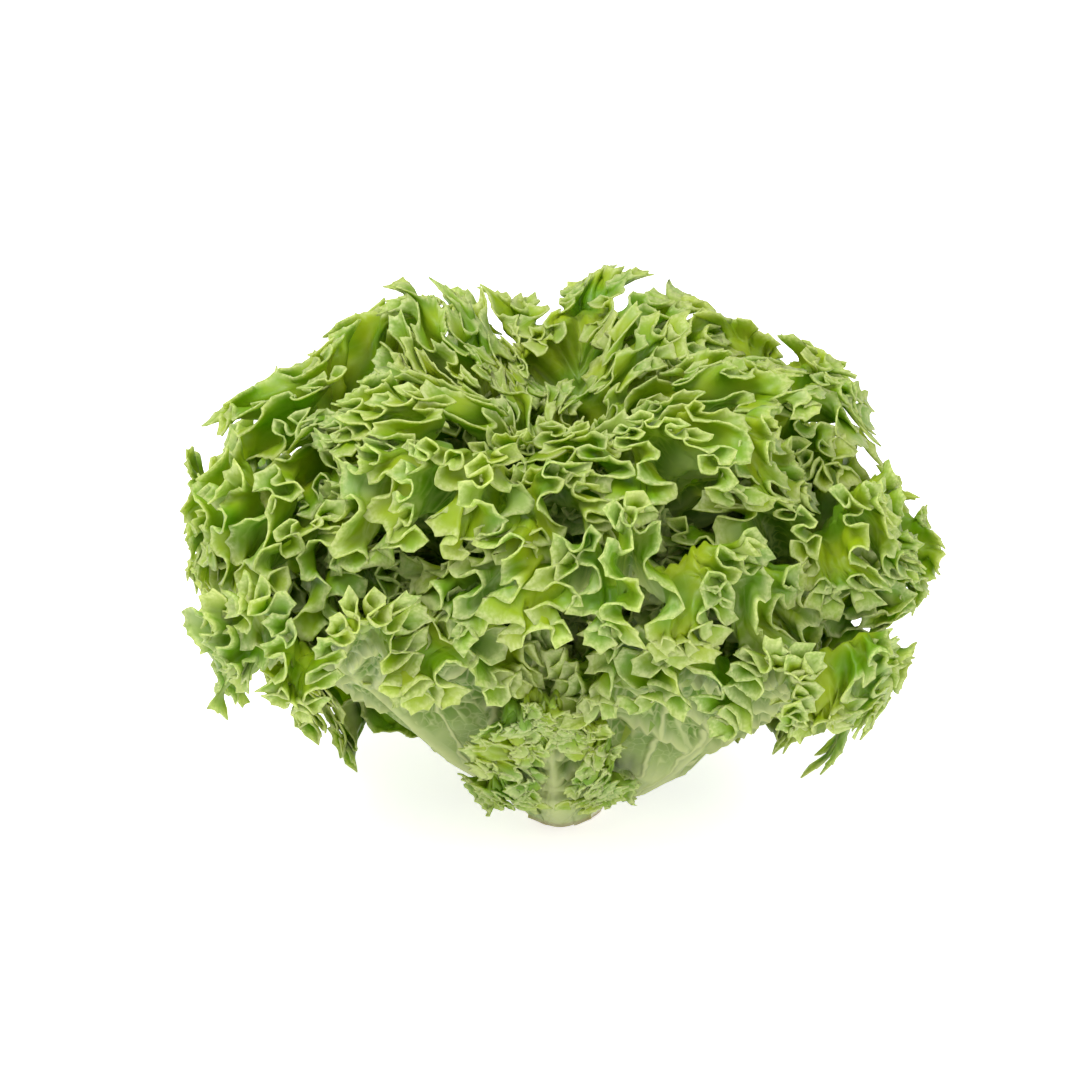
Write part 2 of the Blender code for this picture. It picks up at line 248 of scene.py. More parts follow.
def blank_leaf(name, columns, parts):
    """A flat grid: x runs along the margin from 0 to 1, and y from the midrib, 0, to the margin, 1."""
    shares = row_shares(parts)
    rows = len(shares) - 1
    bpy.ops.mesh.primitive_grid_add(x_subdivisions=columns, y_subdivisions=rows, size=1)
    blank = bpy.context.object
    blank.name = name
    bpy.context.tool_settings.mesh_select_mode = (False, True, False)
    for end, _ in parts[:-1]:
        split_edges_beyond(blank, int(np.argmin(np.abs(shares - end))), rows)
    at = places_of(blank.data) + [0.5, 0.5, 0]
    at[:, 1] = np.interp(at[:, 1] * rows, np.arange(rows + 1), shares)
    blank.data.vertices.foreach_set("co", at.ravel())
    print(name, "faces:", len(blank.data.polygons))
    return blank


CUTS = {
    "outer_leaf": (116, ((0.45, 12), (0.68, 5), (0.84, 4), (0.94, 2), (1, 2))),
    "middle_leaf": (96, ((0.45, 6), (0.68, 4), (0.84, 4), (0.94, 2), (1, 2))),
    "heart_leaf": (50, ((0.40, 3), (0.65, 3), (0.82, 3), (0.93, 2), (1, 2))),
}
BLANKS = {ring: blank_leaf(ring + "_blank", columns, parts) for ring, (columns, parts) in CUTS.items()}

# %% [markdown]
# ## The frill
# Growth makes the margin more than four times as long as the blade behind it. A strip with spare length bends
# into a meander: its direction swings from side to side, and past about 90 degrees the loops lean over one
# another. On a lettuce there are loops on loops. The wide ones start deep in the blade and come from a formula.
# The small ones, near the edge, are drawn by walking along the strip in a direction that swings in two waves.
# A cloth simulation could fold the sheet too, but this is quick and comes out the same each time.

# %% Smooth chance, for waves that differ
def wander(luck, step, far):
    """A smooth value between -1 and 1 that changes about every step along far."""
    knots = np.array([luck.uniform(-1, 1) for _ in range(int(np.max(far) / step) + 3)])
    at = np.maximum(far, 0) / step
    low = at.astype(int)
    return blend(knots[low], knots[low + 1], smooth(at - low))


# %% The wide loops
def bessel(order, x):
    """The Bessel function of the first kind, by its series."""
    parts = ((k, math.factorial(k) * math.factorial(k + order)) for k in range(9))
    return sum((-1) ** k / below * (x / 2) ** (2 * k + order) for k, below in parts)


def meander(phase, swing, wave):
    """How far along and across a point of the meander lies from its place on the straight strip."""
    slack = wave / (2 * math.pi) / bessel(0, swing)
    along = slack * (-bessel(2, swing) * np.sin(2 * phase) + bessel(4, swing) / 2 * np.sin(4 * phase))
    across = slack * (2 * bessel(1, swing) * np.sin(phase) - bessel(3, swing) * 2 / 3 * np.sin(3 * phase))
    return along, across


# %% The small loops on them, walked step by step
SAMPLES = 4000
DEPTHS = np.array([0, 0.5, 0.6, 0.68, 0.76, 0.84, 0.92, 1.0])
LOOP_WANDER, LOOP_SHIFT = ((0.5, 0.8), (0.9, 2.3)), 1.8
LEAST_FORWARD = 0.15


def moving_mean(values, width):
    """The mean of each value's neighbours, with width samples in all."""
    half = max(int(width) // 2, 1)
    total = np.concatenate([[0], np.cumsum(np.pad(values, half, mode="edge"))])
    return (total[2 * half + 1 :] - total[: -2 * half - 1]) / (2 * half + 1)


class Ruffles:
    """How far a strip with small loops lies along and across from the plain strip, at each column and depth."""

    def __init__(self, margin, luck, look):
        column = np.linspace(0, 1, SAMPLES)
        far = column * margin.true_far[-1]
        grown = margin.at(column, margin.grown)
        waves = []
        for length, _, _, chance in look["ruffles"]:
            bend = sum(share * wander(luck, step * length, far) for share, step in LOOP_WANDER)
            phase = 2 * math.pi * far / length + LOOP_SHIFT * bend
            waves.append(np.cos(phase) * (1 + chance * wander(luck, 0.9 * length, far)))
        self.ways = np.zeros((2, len(DEPTHS), SAMPLES))
        window = 1.3 * look["ruffles"][0][0] / far[-1] * SAMPLES
        wide = grown * look["ruffles"][0][1] * waves[0]
        bent = np.tanh(np.gradient(wide) / far[1] * look["cup"])
        self.lips = np.stack([np.sin(wide), -np.cos(wide)]) * bent
        rim_forward = None
        for row, depth in reversed(list(enumerate(DEPTHS))):
            swings = [swing * smooth((depth - start) / (1 - start)) for _, swing, start, _ in look["ruffles"]]
            heading = grown * sum(swing * wave for swing, wave in zip(swings, waves))
            forward = np.maximum(moving_mean(np.cos(heading), window), LEAST_FORWARD)
            rim_forward = forward if rim_forward is None else rim_forward
            pace = far[1] * max(depth, 0.3) * rim_forward / forward
            for way, step in ((0, np.cos(heading) - forward), (1, np.sin(heading))):
                walked = np.cumsum(step * pace)
                self.ways[way, row] = walked - moving_mean(walked, window)

    def sample(self, column):
        """The sample before each column, and how far past it the column is."""
        at = np.clip(column, 0, 1) * (SAMPLES - 1)
        left = np.clip(at.astype(int), 0, SAMPLES - 2)
        return left, at - left

    def at(self, column, depth):
        """The way from the plain strip, along it and across."""
        low = np.clip(np.searchsorted(DEPTHS, depth, side="right") - 1, 0, len(DEPTHS) - 2)
        part = (depth - DEPTHS[low]) / (DEPTHS[low + 1] - DEPTHS[low])
        left, past = self.sample(column)
        ways = [blend(self.ways[:, low + i, left], self.ways[:, low + i, left + 1], past) for i in (0, 1)]
        return blend(ways[0], ways[1], part)

    def lip(self, column):
        """The way in which the lip of a loop flares, away from the loop's middle."""
        left, past = self.sample(column)
        return blend(self.lips[:, left], self.lips[:, left + 1], past)


# %% [markdown]
# ## Veins and puckers
# Between its veins the blade grew faster too, and puffs up into blisters about as big as a lentil. Seen from
# below, the veins stand out as pale ridges around darker hollows. A cell pattern gives both: points are strewn
# over the flat leaf, and the border between two of them is a vein.

# %% Cells of the puckered blade
CELL, CELL_START, CELL_SPAN = 0.0072, 0.12, 0.76


def cells(luck, x, y, size):
    """How deep in its cell each flat place lies: 0 on the border between two cells, up to 1 in the middle."""
    corner = np.array([x.min() - 2 * size, y.min() - 2 * size])
    wide, tall = int(np.ptp(x) / size) + 5, int(np.ptp(y) / size) + 5
    seeds = np.array([[(luck.random(), luck.random()) for _ in range(tall)] for _ in range(wide)])
    at = (np.stack([x, y], axis=-1) - corner) / size
    home = at.astype(int)
    nearest = np.full((len(x), 2), 9.0)
    for i in (-1, 0, 1):
        for j in (-1, 0, 1):
            box = home + [i, j]
            seed = seeds[np.clip(box[:, 0], 0, wide - 1), np.clip(box[:, 1], 0, tall - 1)]
            seed = box + CELL_START + CELL_SPAN * seed
            far = np.linalg.norm(at - seed, axis=1)
            second = np.minimum(np.maximum(far, nearest[:, 0]), nearest[:, 1])
            nearest = np.stack([np.minimum(far, nearest[:, 0]), second], axis=1)
    return np.clip((nearest[:, 1] - nearest[:, 0]) / 0.9, 0, 1)


# %% [markdown]
# ## Shaping a leaf
# Every point of a blank knows its column along the margin and its share of the way out from the midrib. The
# steps below draw it on the flat leaf with its lobes and teeth, add the frill, bend the sheet on to its layer,
# fold its outer part over and press the veins in. The columns are spaced by the length of the frilled rim, so
# that no stretch of it comes out coarse.

# %% The flat leaf: where each column ends, and how the frill runs along the margin
TEETH_FROM, TEETH_FADE, FRILL_FADE = 0.11, 0.08, 0.20
OUTLINE_POINTS, ROLL_STEP = 1200, 0.040


class Margin:
    """The margin as a line of many samples: its places, its slack and the phases of its waves."""

    def __init__(self, leaf, luck, look):
        self.place, self.vein, self.total = leaf.outline(OUTLINE_POINTS)
        count = len(self.place)
        far = np.linspace(0, self.total, count)
        self.ray = self.place - np.stack([0 * self.vein, self.vein], axis=1)
        self.reach = np.maximum(np.linalg.norm(self.ray, axis=1), 1e-6)
        self.ray = self.ray / self.reach[:, None]
        self.along = np.gradient(self.place, axis=0)
        self.along /= np.linalg.norm(self.along, axis=1)[:, None]
        self.grown = smooth((self.place[:, 1] / leaf.length - look["bare"]) / FRILL_FADE)
        self.toothed = smooth((self.place[:, 1] / leaf.length - TEETH_FROM) / TEETH_FADE)
        wave = look["wave"]
        phase = far / wave + 0.18 * wander(luck, 0.9 * wave, far) + 0.5 * wander(luck, 2.6 * wave, far)
        self.phase = 2 * math.pi * phase
        self.wave = 2 * math.pi * np.gradient(far) / np.maximum(np.gradient(self.phase), 1e-3)
        self.swing = self.grown * (look["swing"] + 0.2 * wander(luck, 1.3 * wave, far))
        self.strength = look["strength"] * (1 + 0.45 * wander(luck, 0.55 * wave, far))
        self.onset = look["onset"] + 0.12 * wander(luck, 0.8 * wave, far)
        self.slant = wander(luck, 2 * wave, far)
        self.roll = wander(luck, ROLL_STEP, far)
        slack = blend(1, look["slack"], self.grown)
        self.true_far = np.concatenate([[0], np.cumsum((slack[1:] + slack[:-1]) / 2 * np.diff(far))])
        self.column = self.true_far / self.true_far[-1]
        self.samples = np.linspace(0, 1, count)

    def at(self, column, values):
        """Values of the margin for points in these columns."""
        sample = np.interp(column, self.column, self.samples)
        if values.ndim == 1:
            return np.interp(sample, self.samples, values)
        return np.stack([np.interp(sample, self.samples, part) for part in values.T], axis=-1)


# %% Looks of the three rings of leaves, and of the small leaf in front
COMMON = {
    "swing": 1.3, "strength": 1.10, "roll": 0.30, "cup": 0.0028, "knee": 0.60, "reach_out": 1, "lowest": 0.0,
    "bare": 0.42, "slack": 4.6, "tooth": 0.0019, "big_tooth": 0.0024, "lobe": 0.0036, "lip": 0.0026,
}
LOOKS = {
    "front_leaf": COMMON | {
        "wave": 0.015, "onset": 0.45, "ruffles": ((0.0160, 1.35, 0.40, 0.40), (0.0070, 0.55, 0.70, 0.4)),
        "lean": 0.0, "fold": 1.30, "pucker": 0.0030, "swing": 1.2, "strength": 1.0, "slack": 4.4, "knee": 0.26,
        "reach_out": 0.5, "lowest": 0.40, "bare": 0.34, "big_tooth": 0.0022, "lobe": 0.0030, "lip": 0.0024,
    },
    "outer_leaf": COMMON | {
        "wave": 0.024, "onset": 0.30, "ruffles": ((0.0142, 1.35, 0.60, 0.40), (0.0062, 0.55, 0.82, 0.4)),
        "lean": 0.002, "fold": 0.35, "pucker": 0.0030,
    },
    "middle_leaf": COMMON | {
        "wave": 0.023, "onset": 0.28, "ruffles": ((0.0140, 1.35, 0.60, 0.40), (0.0062, 0.55, 0.82, 0.4)),
        "lean": 0.003, "fold": 0.50, "pucker": 0.0020,
    },
    "heart_leaf": COMMON | {
        "wave": 0.020, "onset": 0.28, "ruffles": ((0.0130, 1.3, 0.56, 0.40), (0.0058, 0.55, 0.82, 0.4)),
        "lean": 0.002, "fold": 0.55, "pucker": 0.0010, "slack": 4.3, "cup": 0.0026, "knee": 0.55,
        "tooth": 0.0016, "big_tooth": 0.0020, "lobe": 0.0026, "lip": 0.0021,
    },
}
REAR_LEAVES = (1, 2)  # their low sides are drawn in, or they would show under the front leaves
LUCKS = {8: 50}  # another chance for leaves whose frill came out too plain

# %% Teeth on the margin
def teeth(luck, thread, every):
    """Heights of sharp teeth with round bays between, one to every so many threads, the rim's own columns."""
    at = thread / every
    peaks = np.array([luck.choice((0.25, 0.5, 0.8, 1.0, 1.3)) for _ in range(int(at.max()) + 3)])
    low = at.astype(int)
    part = at - low
    return peaks[low] * (1 - part) ** 3 + peaks[low + 1] * part**3


# %% Chance that bends the whole head a little, so that no fold runs straight
def chance_waves(luck, count, shortest, longest, share):
    """Waves through space: for each its direction over its length, its start, and the push that it gives."""
    waves = []
    for _ in range(count):
        length = luck.uniform(shortest, longest)
        way, push = (np.array([luck.gauss(0, 1) for _ in range(3)]) for _ in range(2))
        waves.append((way / np.linalg.norm(way) * 2 * math.pi / length, luck.uniform(0, 2 * math.pi),
                      push / np.linalg.norm(push) * share * length))
    return waves


SWAY = chance_waves(random.Random(SEED + 1), 12, 0.016, 0.046, 0.036)
# Where the top's rim is higher or lower: the middle and the width along x, and how far it is lifted.
LIFTS = ((-0.060, 0.024, 0.012), (-0.088, 0.013, -0.008), (-0.006, 0.022, -0.014), (0.092, 0.024, -0.011))
TOP_WAY, TOP_FROM = (0.411, 0.911), 0.135
RIGHT_OUT, RIGHT_UP, LEFT_UP, TOP_RIGHT_DOWN = 0.0045, 0.018, 0.008, 0.012


def sway(points):
    """Pushes by chance, and the high and low places that this head has along its top and sides."""
    x, y, z = points.T
    push = sum(np.sin(points @ way + start)[:, None] * push for way, start, push in SWAY)
    top = smooth((TOP_WAY[1] * z + TOP_WAY[0] * y - TOP_FROM) / 0.035)
    right, left = smooth((x - 0.080) / 0.035), smooth((-x - 0.070) / 0.025)
    push[:, 0] += RIGHT_OUT * right * smooth((0.135 - z) / 0.02)
    push[:, 2] += (RIGHT_UP * right + LEFT_UP * left) * smooth((0.100 - z) / 0.040)
    push[:, 2] -= TOP_RIGHT_DOWN * smooth((x - 0.095) / 0.02) * smooth((z - 0.105) / 0.02)
    push[:, 2] += sum(lift * np.exp(-(((x - middle) / wide) ** 2)) for middle, wide, lift in LIFTS) * top
    return push


# %% Where a point lies on the flat leaf
LOBE_STEPS, STALK_TOOTH_WIDTH, STALK_TOOTH = (0.014, 0.034), 0.0085, 0.0060
BIG_TOOTH_THREADS, TOOTH_THREADS = 6, 3


def flat_place(margin, column, share, grown):
    """Places on the plain flat leaf: the vein rises along the midrib first, then arches out."""
    reach = margin.at(column, margin.reach)
    vein = (margin.at(column, margin.vein) + margin.at(1 - column, margin.vein)) / 2  # both sides alike
    start, place = np.stack([0 * vein, vein], axis=1), margin.at(column, margin.place)
    knee = blend(start, place, 0.5) + np.stack([0 * vein, 0.10 * reach * grown], axis=1)
    q = share[:, None]
    return (1 - q) ** 2 * start + 2 * q * (1 - q) * knee + q**2 * place


def cut_margin(look, margin, luck, thread, column, share, grown):
    """How far lobes and teeth reach out along the vein, and how far the lip flares."""
    far = column * margin.true_far[-1]
    rim = smooth((share - 0.74) / 0.26)
    short, long = (wander(luck, step, far) for step in LOBE_STEPS)
    lobes = look["lobe"] * (short + 0.6 * long) * smooth((share - 0.5) / 0.5)
    big = look["big_tooth"] * (teeth(luck, thread, BIG_TOOTH_THREADS) - 0.4) * rim
    bite = look["tooth"] * teeth(luck, thread, TOOTH_THREADS) * smooth((share - 0.90) / 0.10)
    lobes = lobes + STALK_TOOTH * (teeth(luck, far / STALK_TOOTH_WIDTH, 1) - 0.3) * rim * (1 - grown)
    flare = (look["lip"] * smooth((share - 0.86) / 0.16) ** 1.3 + 0.5 * np.maximum(big, 0) + 0.8 * bite) * grown
    return (lobes + (big + bite) * blend(1.2, 0.5, grown)) * margin.at(column, margin.toothed), flare


def wide_loops(margin, column, share):
    """The wide loops: the way along and across, their height, and the direction and phase at each point."""
    onset = margin.at(column, margin.onset)
    rise = np.clip((share - onset) / (1 - onset), 0, 1) ** 0.9
    swing, wave = margin.at(column, margin.swing), margin.at(column, margin.wave)
    phase = margin.at(column, margin.phase) + 3 * margin.at(column, margin.slant) * (1 - share)
    along, across = meander(phase, swing * rise, wave)
    tallest = meander(math.pi / 2, np.maximum(swing, 0.3), wave)[1]
    across = across / tallest * margin.at(column, margin.strength)
    return along, across, tallest, swing * rise * np.cos(phase), phase


# %% Where the points of a leaf's sheet lie in the head
MOST_ROLL, LIP_SPREAD = 1.6, 0.6
DRAWN_IN, DRAWN_FROM = 0.45, 0.35
ROOT_DROP, LOW_FROM, LOW_EASE, TOP_EASE_FROM, TOP_EASE = 0.002, 0.0035, 0.7, 0.170, 0.15


def bend_sheet(leaf, look, margin, ruffles, luck, thread, column, share):
    """The sheet's points in the head and on the flat leaf, and the layer, height and turn of each."""
    ray, run = margin.at(column, margin.ray), margin.at(column, margin.along)
    reach, grown = margin.at(column, margin.reach), margin.at(column, margin.grown)
    flat = flat_place(margin, column, share, grown)
    toothed, flare = cut_margin(look, margin, luck, thread, column, share, grown)
    flat = flat + ray * toothed[:, None]
    along, across, tallest, swinging, phase = wide_loops(margin, column, share)
    small_along, small_across = ruffles.at(column, share) + ruffles.lip(column) * flare
    small_across = small_across + LIP_SPREAD * flare * np.sin(phase)

    # on to the layers, where the sides of a low leaf hang further out
    height = flat[:, 1] / leaf.length
    t = height * leaf.tip
    turn = leaf.turn + (flat + run * along[:, None])[:, 0] / radius(leaf.layer, np.maximum(t, 0), leaf.turn)
    hang = np.maximum(room(leaf, turn, t)[1] - FRILL_ROOM, 0)
    side = smooth(np.abs(flat[:, 0]) / leaf.half) * smooth((height - 0.1) / 0.3)
    side = side * (1 - np.clip(-np.sin(turn), 0, 1))
    home = leaf.layer + side * np.minimum(hang, LOWEST_LAYER - leaf.layer)

    # the frill swings inwards and outwards as far as there is room
    inward, outward = swing_room(leaf, home, turn, t)
    swung = across + look["roll"] * margin.at(column, margin.roll) * smooth((share - 0.25) / 0.75) * grown
    swung = MOST_ROLL * np.tanh(swung / MOST_ROLL)
    tall = np.where(swung > 0, outward, inward) + 0.001
    heading = np.arctan2(tall / tallest * np.sin(swinging), np.cos(swinging))
    along = along + small_along * np.cos(heading) - small_across * np.sin(heading)
    swung = swung * tall + small_along * np.sin(heading) + small_across * np.cos(heading)
    swung = swung + look["lean"] * -math.sin(leaf.turn) * smooth((share - 0.55) / 0.45) * grown

    # the outer part folds over, so that its cups open to the front
    knee = look["knee"]
    past = np.maximum(share - knee, 0) * reach
    fold = look["fold"] * (0.25 - 0.75 * math.sin(leaf.turn)) * smooth((share - knee) / (1 - knee)) * grown
    here = flat + run * along[:, None] - ray * (past * (1 - np.cos(fold)) + swung * np.sin(fold))[:, None]
    swung = swung * np.cos(fold) + look["reach_out"] * past * np.sin(fold)
    if leaf.number in REAR_LEAVES:
        here[:, 0] *= blend(DRAWN_IN, 1, smooth((height - DRAWN_FROM) / 0.35))
    lowest = look["lowest"] * leaf.length
    raised = np.maximum(here[:, 1], lowest) + 0.3 * np.minimum(here[:, 1] - lowest, 0)
    here[:, 1] = np.where(grown > 0.01, raised, here[:, 1])
    pace = layer_pace(home, t, turn)
    t = np.where(np.isclose(flat[:, 1], 0), -ROOT_DROP / leaf.length, here[:, 1] / leaf.length * leaf.tip)
    turn = leaf.turn + here[:, 0] / radius(leaf.layer, np.maximum(t, 0), leaf.turn)
    points = layer(home + swung / pace, t, turn)
    points = points + sway(points) * (smooth((share - 0.35) / 0.5) * grown)[:, None]
    points[:, 2] -= LOW_EASE * np.minimum(points[:, 2] - LOW_FROM, 0)
    points[:, 2] -= TOP_EASE * np.maximum(points[:, 2] - TOP_EASE_FROM, 0)
    return points, flat, home, t, turn


def evened(leaf, look, margin, ruffles, column, share):
    """The columns again, moved so that each has an even part of the frilled rim's true length."""
    rim = np.linspace(0, 1, SAMPLES)
    line = bend_sheet(leaf, look, margin, ruffles, random.Random(0), 0 * rim, rim, 0 * rim + 1)[0]
    pace = moving_mean(np.linalg.norm(np.diff(line, axis=0), axis=1), 5)
    far = np.concatenate([[0], np.cumsum(pace + 0.25 * pace.mean())])
    far /= far[-1]
    true = np.interp(column, far, rim)
    alike = (true + 1 - np.interp(1 - column, far, rim)) / 2  # the leaf's two sides still meet at the midrib
    return blend(alike, true, smooth(share))


# %% Side veins, ridges that fan out from the midrib
SIDE_VEINS_APART, SIDE_VEIN_WIDTHS = 0.021, (0.0028, 0.0011)


def side_veins(luck, margin, column, share):
    """1 on a side vein and 0 away from it."""
    plain_far = np.linspace(0, margin.total, len(margin.samples))
    far, start = margin.at(column, plain_far), margin.at(column, margin.vein)
    count = int(margin.total / SIDE_VEINS_APART) + 2
    middles = (np.arange(count) + np.array([luck.uniform(0.25, 0.75) for _ in range(count)])) * SIDE_VEINS_APART
    starts = np.interp(middles, plain_far, margin.vein)
    apart = np.abs(far[:, None] - middles) * share[:, None]
    apart = apart + np.abs(start[:, None] - starts) * (1 - share)[:, None]
    wide = blend(*SIDE_VEIN_WIDTHS, share)
    return np.exp(-((apart.min(1) / wide) ** 2)) * (1 - smooth((share - 0.72) / 0.2))


# %% From the blank to the head
MIDRIB_TIP, MIDRIB_RELIEF, VEIN_RELIEF = 0.0021, 0.0034, 0.0040
THINNEST, SLOPE_STEP = 0.14, 0.004


def shape_leaf(blank, leaf, look, finest):
    """Moves the blank's points to their places in the head, and keeps what the finish needs to know of each."""
    luck = random.Random(SEED * 100 + leaf.number + LUCKS.get(leaf.number, 0))
    mesh = blank.data
    column, share, _ = places_of(mesh).T
    margin = Margin(leaf, luck, look)
    ruffles = Ruffles(margin, luck, look)
    thread = column * finest
    column = evened(leaf, look, margin, ruffles, column, share)
    points, flat, home, t, turn = bend_sheet(leaf, look, margin, ruffles, luck, thread, column, share)

    # midrib, side veins and puckers, along the sheet's own direction outwards
    up = layer(home, t + SLOPE_STEP, turn) - layer(home, t - SLOPE_STEP, turn)
    round_ = layer(home, t, turn + SLOPE_STEP) - layer(home, t, turn - SLOPE_STEP)
    out = np.cross(round_, up)
    out /= np.linalg.norm(out, axis=1)[:, None]
    height = flat[:, 1] / leaf.length
    rib_half = blend(leaf.root_half * 0.9, MIDRIB_TIP, smooth(height / 0.6))
    rib = np.exp(-((flat[:, 0] / rib_half) ** 2)) * (1 - smooth((height - 0.5) / 0.4))
    ribs = side_veins(luck, margin, column, share) * smooth(share / 0.08)
    cell = cells(luck, flat[:, 0] + 0.15 * flat[:, 1] * np.sign(flat[:, 0]), flat[:, 1], CELL)
    blade = smooth((height - 0.09) / 0.16) * (1 - rib)
    relief = MIDRIB_RELIEF * rib * (1 - 0.6 * height) + VEIN_RELIEF * ribs * blade
    relief = relief - look["pucker"] * smooth(cell / 0.7) * blade * (1 - 0.7 * smooth((share - 0.80) / 0.20))
    kept = mesh.attributes.new("outward", "FLOAT_VECTOR", "POINT")
    kept.data.foreach_set("vector", out.astype(np.float32).ravel())
    mesh.vertices.foreach_set("co", (points + out * relief[:, None]).ravel())
    store(mesh, "margin", np.clip(share, 0, 1))
    store(mesh, "vein", np.clip(np.maximum(rib, ribs), 0, 1))
    store(mesh, "cell", np.where(blade > 0.05, cell, 1))
    store(mesh, "height", np.clip(height, 0, 1))
    off_neck = np.abs(flat[:, 0]) / leaf.neck_half / 1.3 * (height > 0.1)
    store(mesh, "thickness", blend(1.0, THINNEST, smooth(np.maximum(height / 0.55, off_neck))))
    flat_map(mesh, flat)


# %% What a mesh keeps for its finish
def store(mesh, name, values):
    """One number for each point, kept in the mesh."""
    kept = mesh.attributes.new(name, "FLOAT", "POINT")
    kept.data.foreach_set("value", values.astype(np.float32))


def flat_map(mesh, flat):
    """The flat leaf as the mesh's UV map, at ten centimetres to the unit."""
    corner = np.zeros(len(mesh.loops), int)
    mesh.loops.foreach_get("vertex_index", corner)
    mesh.uv_layers.active.data.foreach_set("uv", (flat[corner] * 10).astype(np.float32).ravel())


# %% [markdown]
# ## Thickness
# A blade is about half a millimetre thick and its stalk several. The Solidify modifier gives the sheet two
# skins, thicker where a vertex group says so, and closes the rim between them.

# %% Close the sheet at the midrib and thicken it
THICKEST, THICKNESS_LEVELS, LEAST_HEIGHT = 0.0040, 20, 0.0003


def thicken(thing):
    mesh = thing.data
    share = np.zeros(len(mesh.vertices), np.float32)
    mesh.attributes["margin"].data.foreach_get("value", share)
    mesh.polygons.foreach_set("select", np.zeros(len(mesh.polygons), bool))
    mesh.edges.foreach_set("select", np.zeros(len(mesh.edges), bool))
    mesh.vertices.foreach_set("select", share < 1e-4)
    bpy.context.tool_settings.mesh_select_mode = (True, False, False)
    bpy.ops.object.mode_set(mode="EDIT")
    bpy.ops.mesh.remove_doubles(threshold=1e-5)
    bpy.ops.mesh.select_all(action="SELECT")
    bpy.ops.mesh.normals_make_consistent(inside=False)
    bpy.ops.object.mode_set(mode="OBJECT")
    single = len(mesh.vertices)
    thick = np.zeros(single, np.float32)
    mesh.attributes["thickness"].data.foreach_get("value", thick)
    group = thing.vertex_groups.new(name="thickness_group")
    levels = np.clip(np.round(thick * THICKNESS_LEVELS), 1, THICKNESS_LEVELS)
    for level in range(1, THICKNESS_LEVELS + 1):
        chosen = np.nonzero(np.abs(levels - level) < 0.5)[0]
        group.add(chosen.tolist(), level / THICKNESS_LEVELS, "REPLACE")
    solid = thing.modifiers.new("Thickness", "SOLIDIFY")
    solid.thickness = THICKEST
    solid.offset = 0
    solid.vertex_group = group.name
    solid.use_even_offset = False
    bpy.ops.object.modifier_apply(modifier=solid.name)
    at, out = places_of(mesh), np.zeros(len(mesh.vertices) * 3, np.float32)
    mesh.attributes["outward"].data.foreach_get("vector", out)
    first, second = at.reshape(2, single, 3)
    outside_second = ((second - first) * out.reshape(2, single, 3)[0]).sum() > 0
    at[:, 2] = np.maximum(at[:, 2], LEAST_HEIGHT)  # nothing dips into the table
    mesh.vertices.foreach_set("co", at.ravel())
    under = np.zeros(2 * single)
    under[single:] = 1
    store(mesh, "underside", under if outside_second else 1 - under)
    mesh.attributes.remove(mesh.attributes["outward"])


# %% [markdown]
# ## Finishes
# Lettuce is bright where light comes through it, so the leaf's shader is a glossy surface mixed with a
# translucent one. Its colour goes from the browned cut and the pale stalk through a fresh green to a light lip
# at the margin, which is partly the margin's own pale colour and partly a painted highlight. Low down the blade
# is lighter and yellower, partly the colour of younger tissue and partly painted light that lifts the shade
# under the head. The outside of a leaf is duller and darker, partly its own colour and partly painted shade for
# the hollows between its veins, and the veins stand out pale on it. The fine net of veins and the fan of ribs
# are drawn by a node group in the leaf's own flat map, so that they follow it round every fold.

# %% Small helpers for shader nodes
def feed(target, source):
    """Sets a socket to a value, or links it to another socket."""
    if isinstance(source, bpy.types.NodeSocket):
        target.id_data.links.new(source, target)
    else:
        target.default_value = source


def node(tree, kind, inputs=None, **settings):
    """A new node with its settings made and its inputs fed."""
    made = tree.nodes.new(kind)
    for name, value in settings.items():
        setattr(made, name, value)
    for name, source in (inputs or {}).items():
        feed(made.inputs[name], source)
    return made


def maths(tree, operation, a, b=0.0, clamp=False):
    return node(tree, "ShaderNodeMath", {0: a, 1: b}, operation=operation, use_clamp=clamp).outputs[0]


def times(tree, a, b):
    return maths(tree, "MULTIPLY", a, b)


def rest(tree, value):
    """What is left of 1."""
    return maths(tree, "SUBTRACT", 1.0, value)


def between(tree, value, low, high):
    """0 below low, 1 above high and smooth between."""
    places = {"Value": value, "From Min": low, "From Max": high}
    return node(tree, "ShaderNodeMapRange", places, interpolation_type="SMOOTHSTEP").outputs["Result"]


def blended(tree, factor, low, high):
    """low where the factor is 0 and high where it is 1."""
    return node(tree, "ShaderNodeMath", {0: factor, 1: high - low, 2: low}, operation="MULTIPLY_ADD").outputs[0]


def mixed(tree, factor, a, b, way="MIX"):
    """Colour a where the factor is 0 and b, or their product, where it is 1."""
    a, b = (colour if isinstance(colour, bpy.types.NodeSocket) else (*colour, 1) for colour in (a, b))
    return node(tree, "ShaderNodeMix", {0: factor, 6: a, 7: b}, data_type="RGBA", blend_type=way).outputs[2]


def bump(tree, height, strength, distance):
    inputs = {"Strength": strength, "Distance": distance, "Height": height}
    return node(tree, "ShaderNodeBump", inputs).outputs[0]


def group_of(name, place, sizes, outputs):
    """A new node group with a place, some sizes and some numbers made from them."""
    tree = bpy.data.node_groups.new(name, "ShaderNodeTree")
    tree.interface.new_socket(place, in_out="INPUT", socket_type="NodeSocketVector")
    for title in sizes:
        tree.interface.new_socket(title, in_out="INPUT", socket_type="NodeSocketFloat")
    for title in outputs:
        tree.interface.new_socket(title, in_out="OUTPUT", socket_type="NodeSocketFloat")
    return tree, node(tree, "NodeGroupInput").outputs, node(tree, "NodeGroupOutput").inputs


def add_group(tree, group, *sources):
    """A node group's outputs, with its inputs fed in their order."""
    return node(tree, "ShaderNodeGroup", dict(enumerate(sources)), node_tree=group).outputs


def new_material(name, specular=0.5):
    """A new material, its node tree and the inputs of its surface."""
    material = bpy.data.materials.new(name)
    material.use_nodes = True
    surface = material.node_tree.nodes["Principled BSDF"].inputs
    feed(surface["Specular IOR Level"], specular)
    return material, material.node_tree, surface


